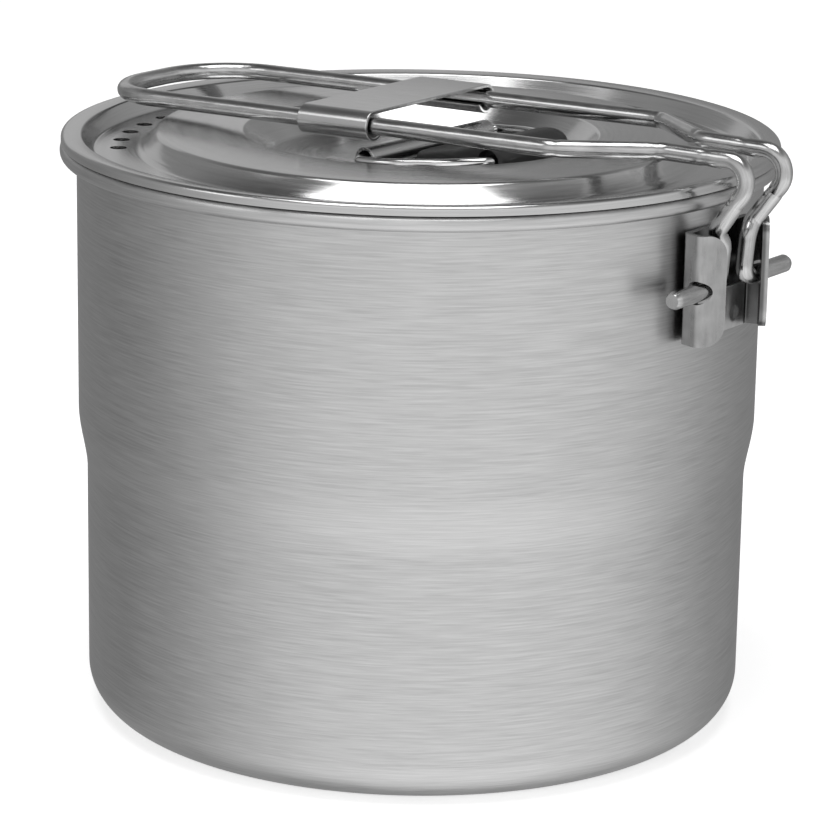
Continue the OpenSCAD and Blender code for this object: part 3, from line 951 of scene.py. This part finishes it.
def bowl_liner_profile(z):
    """Sheet outline of a bowl's liner, which hangs from the lip inside the shell."""
    floor, wall_r = LINER_FLOOR_Z + LINER_T, BOWL_LIP_R - 6
    path = [(0, floor)]
    path += arc(wall_r - 8, floor + LINER_CORNER_R, LINER_CORNER_R, -90, 0, 16)
    path += [(wall_r, BOWL_H - 3)]
    path += arc(BOWL_LIP_R - 1.2, BOWL_H - 1.2, 1.2, 100, 0, 8)
    path += [(BOWL_LIP_R, BOWL_H - 2.8)]
    return [(r, height + z) for r, height in sheet(path, -LINER_T)]


def make_bowls():
    """Two equal bowls, each a shell with its liner."""
    for name in ("lower", "upper"):
        shell, liner = name + "_bowl_shell", name + "_bowl_liner"
        z = node_box(shell)[0].z
        body = name + "_bowl"
        verts, faces = lathe(bowl_shell_profile(z), BOWL_ROUND)
        make_piece(name + "_shell_wall", verts, faces, BOWL_SHELL, body, [shell])
        verts, faces = lathe(bowl_liner_profile(z), BOWL_ROUND)
        make_piece(name + "_liner_wall", verts, faces, BOWL_LINER, body, [liner])


# ---- Sporks ----

SPORK_L = 104.0
HEAD_L = 48.0
HEAD_W = 33.0
DISH_R = 75.0
HEAD_SAG = DISH_R - sqrt(DISH_R ** 2 - (HEAD_L / 2) ** 2)
SPORK_T = 1.2
RIB_H = 0.5
SLOT_HALF_W = 1.1
SLOT_Y = 3.3
SLOT_L = 10.0


def spork_half_width(x):
    """Half width of the spork's outline at a distance from its handle's end."""
    head = (x - (SPORK_L - HEAD_L)) / HEAD_L
    handle = 5.0 - 1.0 * sin(pi * min(1.0, x / (SPORK_L - HEAD_L)))
    if x < 5:
        handle = 5.0 * sqrt(max(0.0, 1 - (1 - x / 5) ** 2))
    if head <= 0:
        return handle
    bowl = HEAD_W / 2 * (sin(pi * min(1.0, head) ** 0.75)) ** 0.55
    neck = max(0.0, 1 - head / 0.18)
    return max(bowl, handle * neck)


def spork_mesh(flip, y, z):
    """A stamped spork: flat handle with a raised rib, and a dished head."""
    centre = SPORK_L - HEAD_L / 2
    columns, rows = 120, 24
    verts, faces = [], []
    for skin in (0, 1):
        for i in range(columns + 1):
            x = 0.02 + (SPORK_L - 0.04) * i / columns
            half = max(0.05, spork_half_width(x))
            for k in range(rows + 1):
                v = -1 + 2 * k / rows
                away = min(HEAD_L / 2, hypot(x - centre, v * half))
                dip = HEAD_SAG - (DISH_R - sqrt(DISH_R ** 2 - away ** 2))
                rib = RIB_H * max(0.0, 1 - (v / 0.5) ** 2) if x < SPORK_L - HEAD_L - 4 else 0.0
                level = -dip + skin * SPORK_T + rib
                place = Vector((x - SPORK_L / 2, v * half, level))
                if flip:
                    place = Vector((-place.x, -place.y, place.z))
                verts.append(place + Vector((0, y, z)))
    tall = rows + 1
    skin_count = (columns + 1) * tall
    for base in (0, skin_count):
        for i in range(columns):
            for k in range(rows):
                a = base + i * tall + k
                faces.append((a, a + 1, a + 1 + tall, a + tall))
    for i in range(columns):
        for k in (0, rows):
            a = i * tall + k
            faces.append((a, a + tall, a + tall + skin_count, a + skin_count))
    for i in (0, columns):
        for k in range(rows):
            a = i * tall + k
            faces.append((a, a + 1, a + 1 + skin_count, a + skin_count))
    return verts, faces


def tine_cutters(flip, y, z):
    """Two round-ended slots that part the three tines."""
    verts, faces = [], []
    sign = -1 if flip else 1
    tip = SPORK_L / 2
    for side in (-1, 1):
        middle = side * SLOT_Y
        slot = [(tip + 2, middle + SLOT_HALF_W), (tip - SLOT_L, middle + SLOT_HALF_W)]
        slot += arc(tip - SLOT_L, middle, SLOT_HALF_W, 90, 270, 10)[1:-1]
        slot += [(tip - SLOT_L, middle - SLOT_HALF_W), (tip + 2, middle - SLOT_HALF_W)]
        part, sides = prism(slot, z - 8, z + 8, lambda u, v, w: (sign * u, sign * v + y, w))
        faces += [tuple(len(verts) + k for k in face) for face in sides]
        verts += part
    return verts, faces


def make_sporks():
    """Two equal sporks, head to tail."""
    for name, flip in (("first", False), ("second", True)):
        node = name + "_spork"
        low, high = node_box(node)
        y = (low.y + high.y) / 2
        z = low.z + HEAD_SAG
        verts, faces = spork_mesh(flip, y, z)
        spork = make_piece(name + "_spork_stamping", verts, faces, SPORK_STEEL,
                           node, [node], 40)
        cut(spork, *tine_cutters(flip, y, z), 40)


# ---- Floor, light and camera ----

TARGET = Vector((0, 0, 53.07))
CAMERA_DISTANCE = 653.4
CAMERA_AZIMUTH = 35.5
CAMERA_ELEVATION = 15.433
CAMERA_ROLL = 0.96
CAMERA_SHIFT = (-0.0091, 0.0059)
LENS = 158.48


def direction(azimuth, elevation):
    """Unit vector towards an azimuth (0 is -Y, 90 is +X) and an elevation, in degrees."""
    a, e = radians(azimuth), radians(elevation)
    return Vector((sin(a) * cos(e), -cos(a) * cos(e), sin(e)))


def make_camera():
    """A long lens in front and to the right, a little above the rim, rolled slightly."""
    data = bpy.data.cameras.new("camera")
    data.lens = LENS
    data.sensor_width = 36.0
    data.shift_x, data.shift_y = CAMERA_SHIFT
    data.clip_start = 0.01
    data.clip_end = 20.0
    camera = bpy.data.objects.new("camera", data)
    bpy.context.scene.collection.objects.link(camera)
    back = direction(CAMERA_AZIMUTH, CAMERA_ELEVATION)
    camera.rotation_mode = "QUATERNION"
    camera.location = (TARGET + back * CAMERA_DISTANCE) * MM
    level = (-back).to_track_quat("-Z", "Y").to_matrix()
    camera.rotation_quaternion = (level @ Matrix.Rotation(radians(CAMERA_ROLL), 3, "Z")).to_quaternion()
    bpy.context.scene.camera = camera


def area_light(name, azimuth, elevation, distance, width, height, radiance, aim=(0, 0, 0.06)):
    """A soft box at a direction and distance in metres, facing the object, its width level."""
    data = bpy.data.lights.new(name, "AREA")
    data.shape = "RECTANGLE"
    data.size = width
    data.size_y = height
    data.energy = radiance * pi * width * height
    light = bpy.data.objects.new(name, data)
    bpy.context.scene.collection.objects.link(light)
    back = direction(azimuth, elevation)
    side = direction(azimuth + 90, 0)
    light.location = Vector(aim) + back * distance
    light.rotation_mode = "QUATERNION"
    light.rotation_quaternion = Matrix((side, back.cross(side), back)).transposed().to_quaternion()
    return light


FLOOR_GLOW = 0.5
FLOOR_HALF_W = 6.0


def make_floor():
    """A pale floor that glows a little, so that it stays white, and leaves no reflection in steel."""
    nodes = Nodes("floor")
    position = nodes.add("ShaderNodeTexCoord").outputs["Object"]
    mottle = nodes.noise(position, 6.0, 2.0)
    nodes.set(base=nodes.grey(nodes.spread(mottle, 0.93, 0.95)), roughness=0.8)
    nodes.shader.inputs["Emission Color"].default_value = (1, 1, 1, 1)
    nodes.shader.inputs["Emission Strength"].default_value = FLOOR_GLOW
    corners = [(x * FLOOR_HALF_W, y * FLOOR_HALF_W, 0) for x, y in ((-1, -1), (1, -1), (1, 1), (-1, 1))]
    mesh = bpy.data.meshes.new("floor")
    mesh.from_pydata(corners, [], [(0, 1, 2, 3)])
    mesh.materials.append(nodes.material)
    floor = bpy.data.objects.new("floor", mesh)
    bpy.context.scene.collection.objects.link(floor)
    floor.visible_glossy = False


def add_ramp(nodes, links, value, stops):
    """A grey ramp over a value, with an eased blend between its stops."""
    ramp = nodes.new("ShaderNodeValToRGB")
    ramp.color_ramp.interpolation = "EASE"
    elements = ramp.color_ramp.elements
    elements[0].position, elements[1].position = stops[0][0], stops[-1][0]
    for place, _ in stops[1:-1]:
        elements.new(place)
    for element, (_, level) in zip(elements, stops):
        element.color = (level, level, level, 1)
    links.new(value, ramp.inputs["Fac"])
    return ramp.outputs["Color"]


# Radiance of the surroundings against (1 + cosine of the bearing from the bright side) / 2
BEARING_STOPS = [(0.0, 0.28), (0.12, 0.28), (0.32, 0.38), (0.5, 0.54), (0.67, 0.72), (0.79, 0.86),
                 (1.0, 0.96)]
# Share of that radiance against the height of a direction, from straight down to straight up
HEIGHT_STOPS = [(0.0, 1.2), (0.2, 1.36), (0.32, 1.0), (0.42, 0.92), (0.5, 0.96), (0.62, 1.08), (0.76, 1.08),
                (0.92, 0.35), (1.0, 0.3)]
BRIGHT_SIDE = CAMERA_AZIMUTH + 16


def make_world():
    """Soft surroundings: bright in front of the object, darker behind it and overhead."""
    world = bpy.data.worlds.new("studio")
    bpy.context.scene.world = world
    world.use_nodes = True
    nodes, links = world.node_tree.nodes, world.node_tree.links

    def vector_math(operation, a, b):
        node = nodes.new("ShaderNodeVectorMath")
        node.operation = operation
        links.new(a, node.inputs[0])
        node.inputs[1].default_value = b
        return node.outputs["Value" if operation == "DOT_PRODUCT" else "Vector"]

    def to_share(value):
        node = nodes.new("ShaderNodeMapRange")
        node.inputs["From Min"].default_value = -1.0
        node.inputs["From Max"].default_value = 1.0
        links.new(value, node.inputs["Value"])
        return node.outputs["Result"]

    ray = nodes.new("ShaderNodeTexCoord").outputs["Generated"]
    level = vector_math("NORMALIZE", vector_math("MULTIPLY", ray, (1, 1, 0)), (0, 0, 0))
    bearing = to_share(vector_math("DOT_PRODUCT", level, direction(BRIGHT_SIDE, 0)))
    height = to_share(vector_math("DOT_PRODUCT", ray, (0, 0, 1)))
    product = nodes.new("ShaderNodeVectorMath")
    product.operation = "MULTIPLY"
    links.new(add_ramp(nodes, links, bearing, BEARING_STOPS), product.inputs[0])
    links.new(add_ramp(nodes, links, height, HEIGHT_STOPS), product.inputs[1])
    links.new(product.outputs["Vector"], nodes["Background"].inputs["Color"])
    nodes["Background"].inputs["Strength"].default_value = 1.0


def make_lights():
    """A soft box overhead, a weak panel behind, and a small box at the front left."""
    area_light("overhead", CAMERA_AZIMUTH, 82, 1.1, 0.82, 0.7, 3.4, (-0.05, -0.036, 0.06))
    area_light("back_panel", CAMERA_AZIMUTH + 196, 19, 1.6, 1.0, 0.55, 0.26)
    area_light("left_box", CAMERA_AZIMUTH - 72, 38, 1.5, 0.5, 0.4, 1.6)


make_camera()
make_pot()
make_lid()
make_ring_clip()
make_ring_wire()
make_grip()
make_handle()
make_lock()
make_bracket()
make_stop_plate()
make_bowls()
make_sporks()
make_floor()
make_world()
make_lights()

bpy.context.scene.view_settings.view_transform = "Standard"
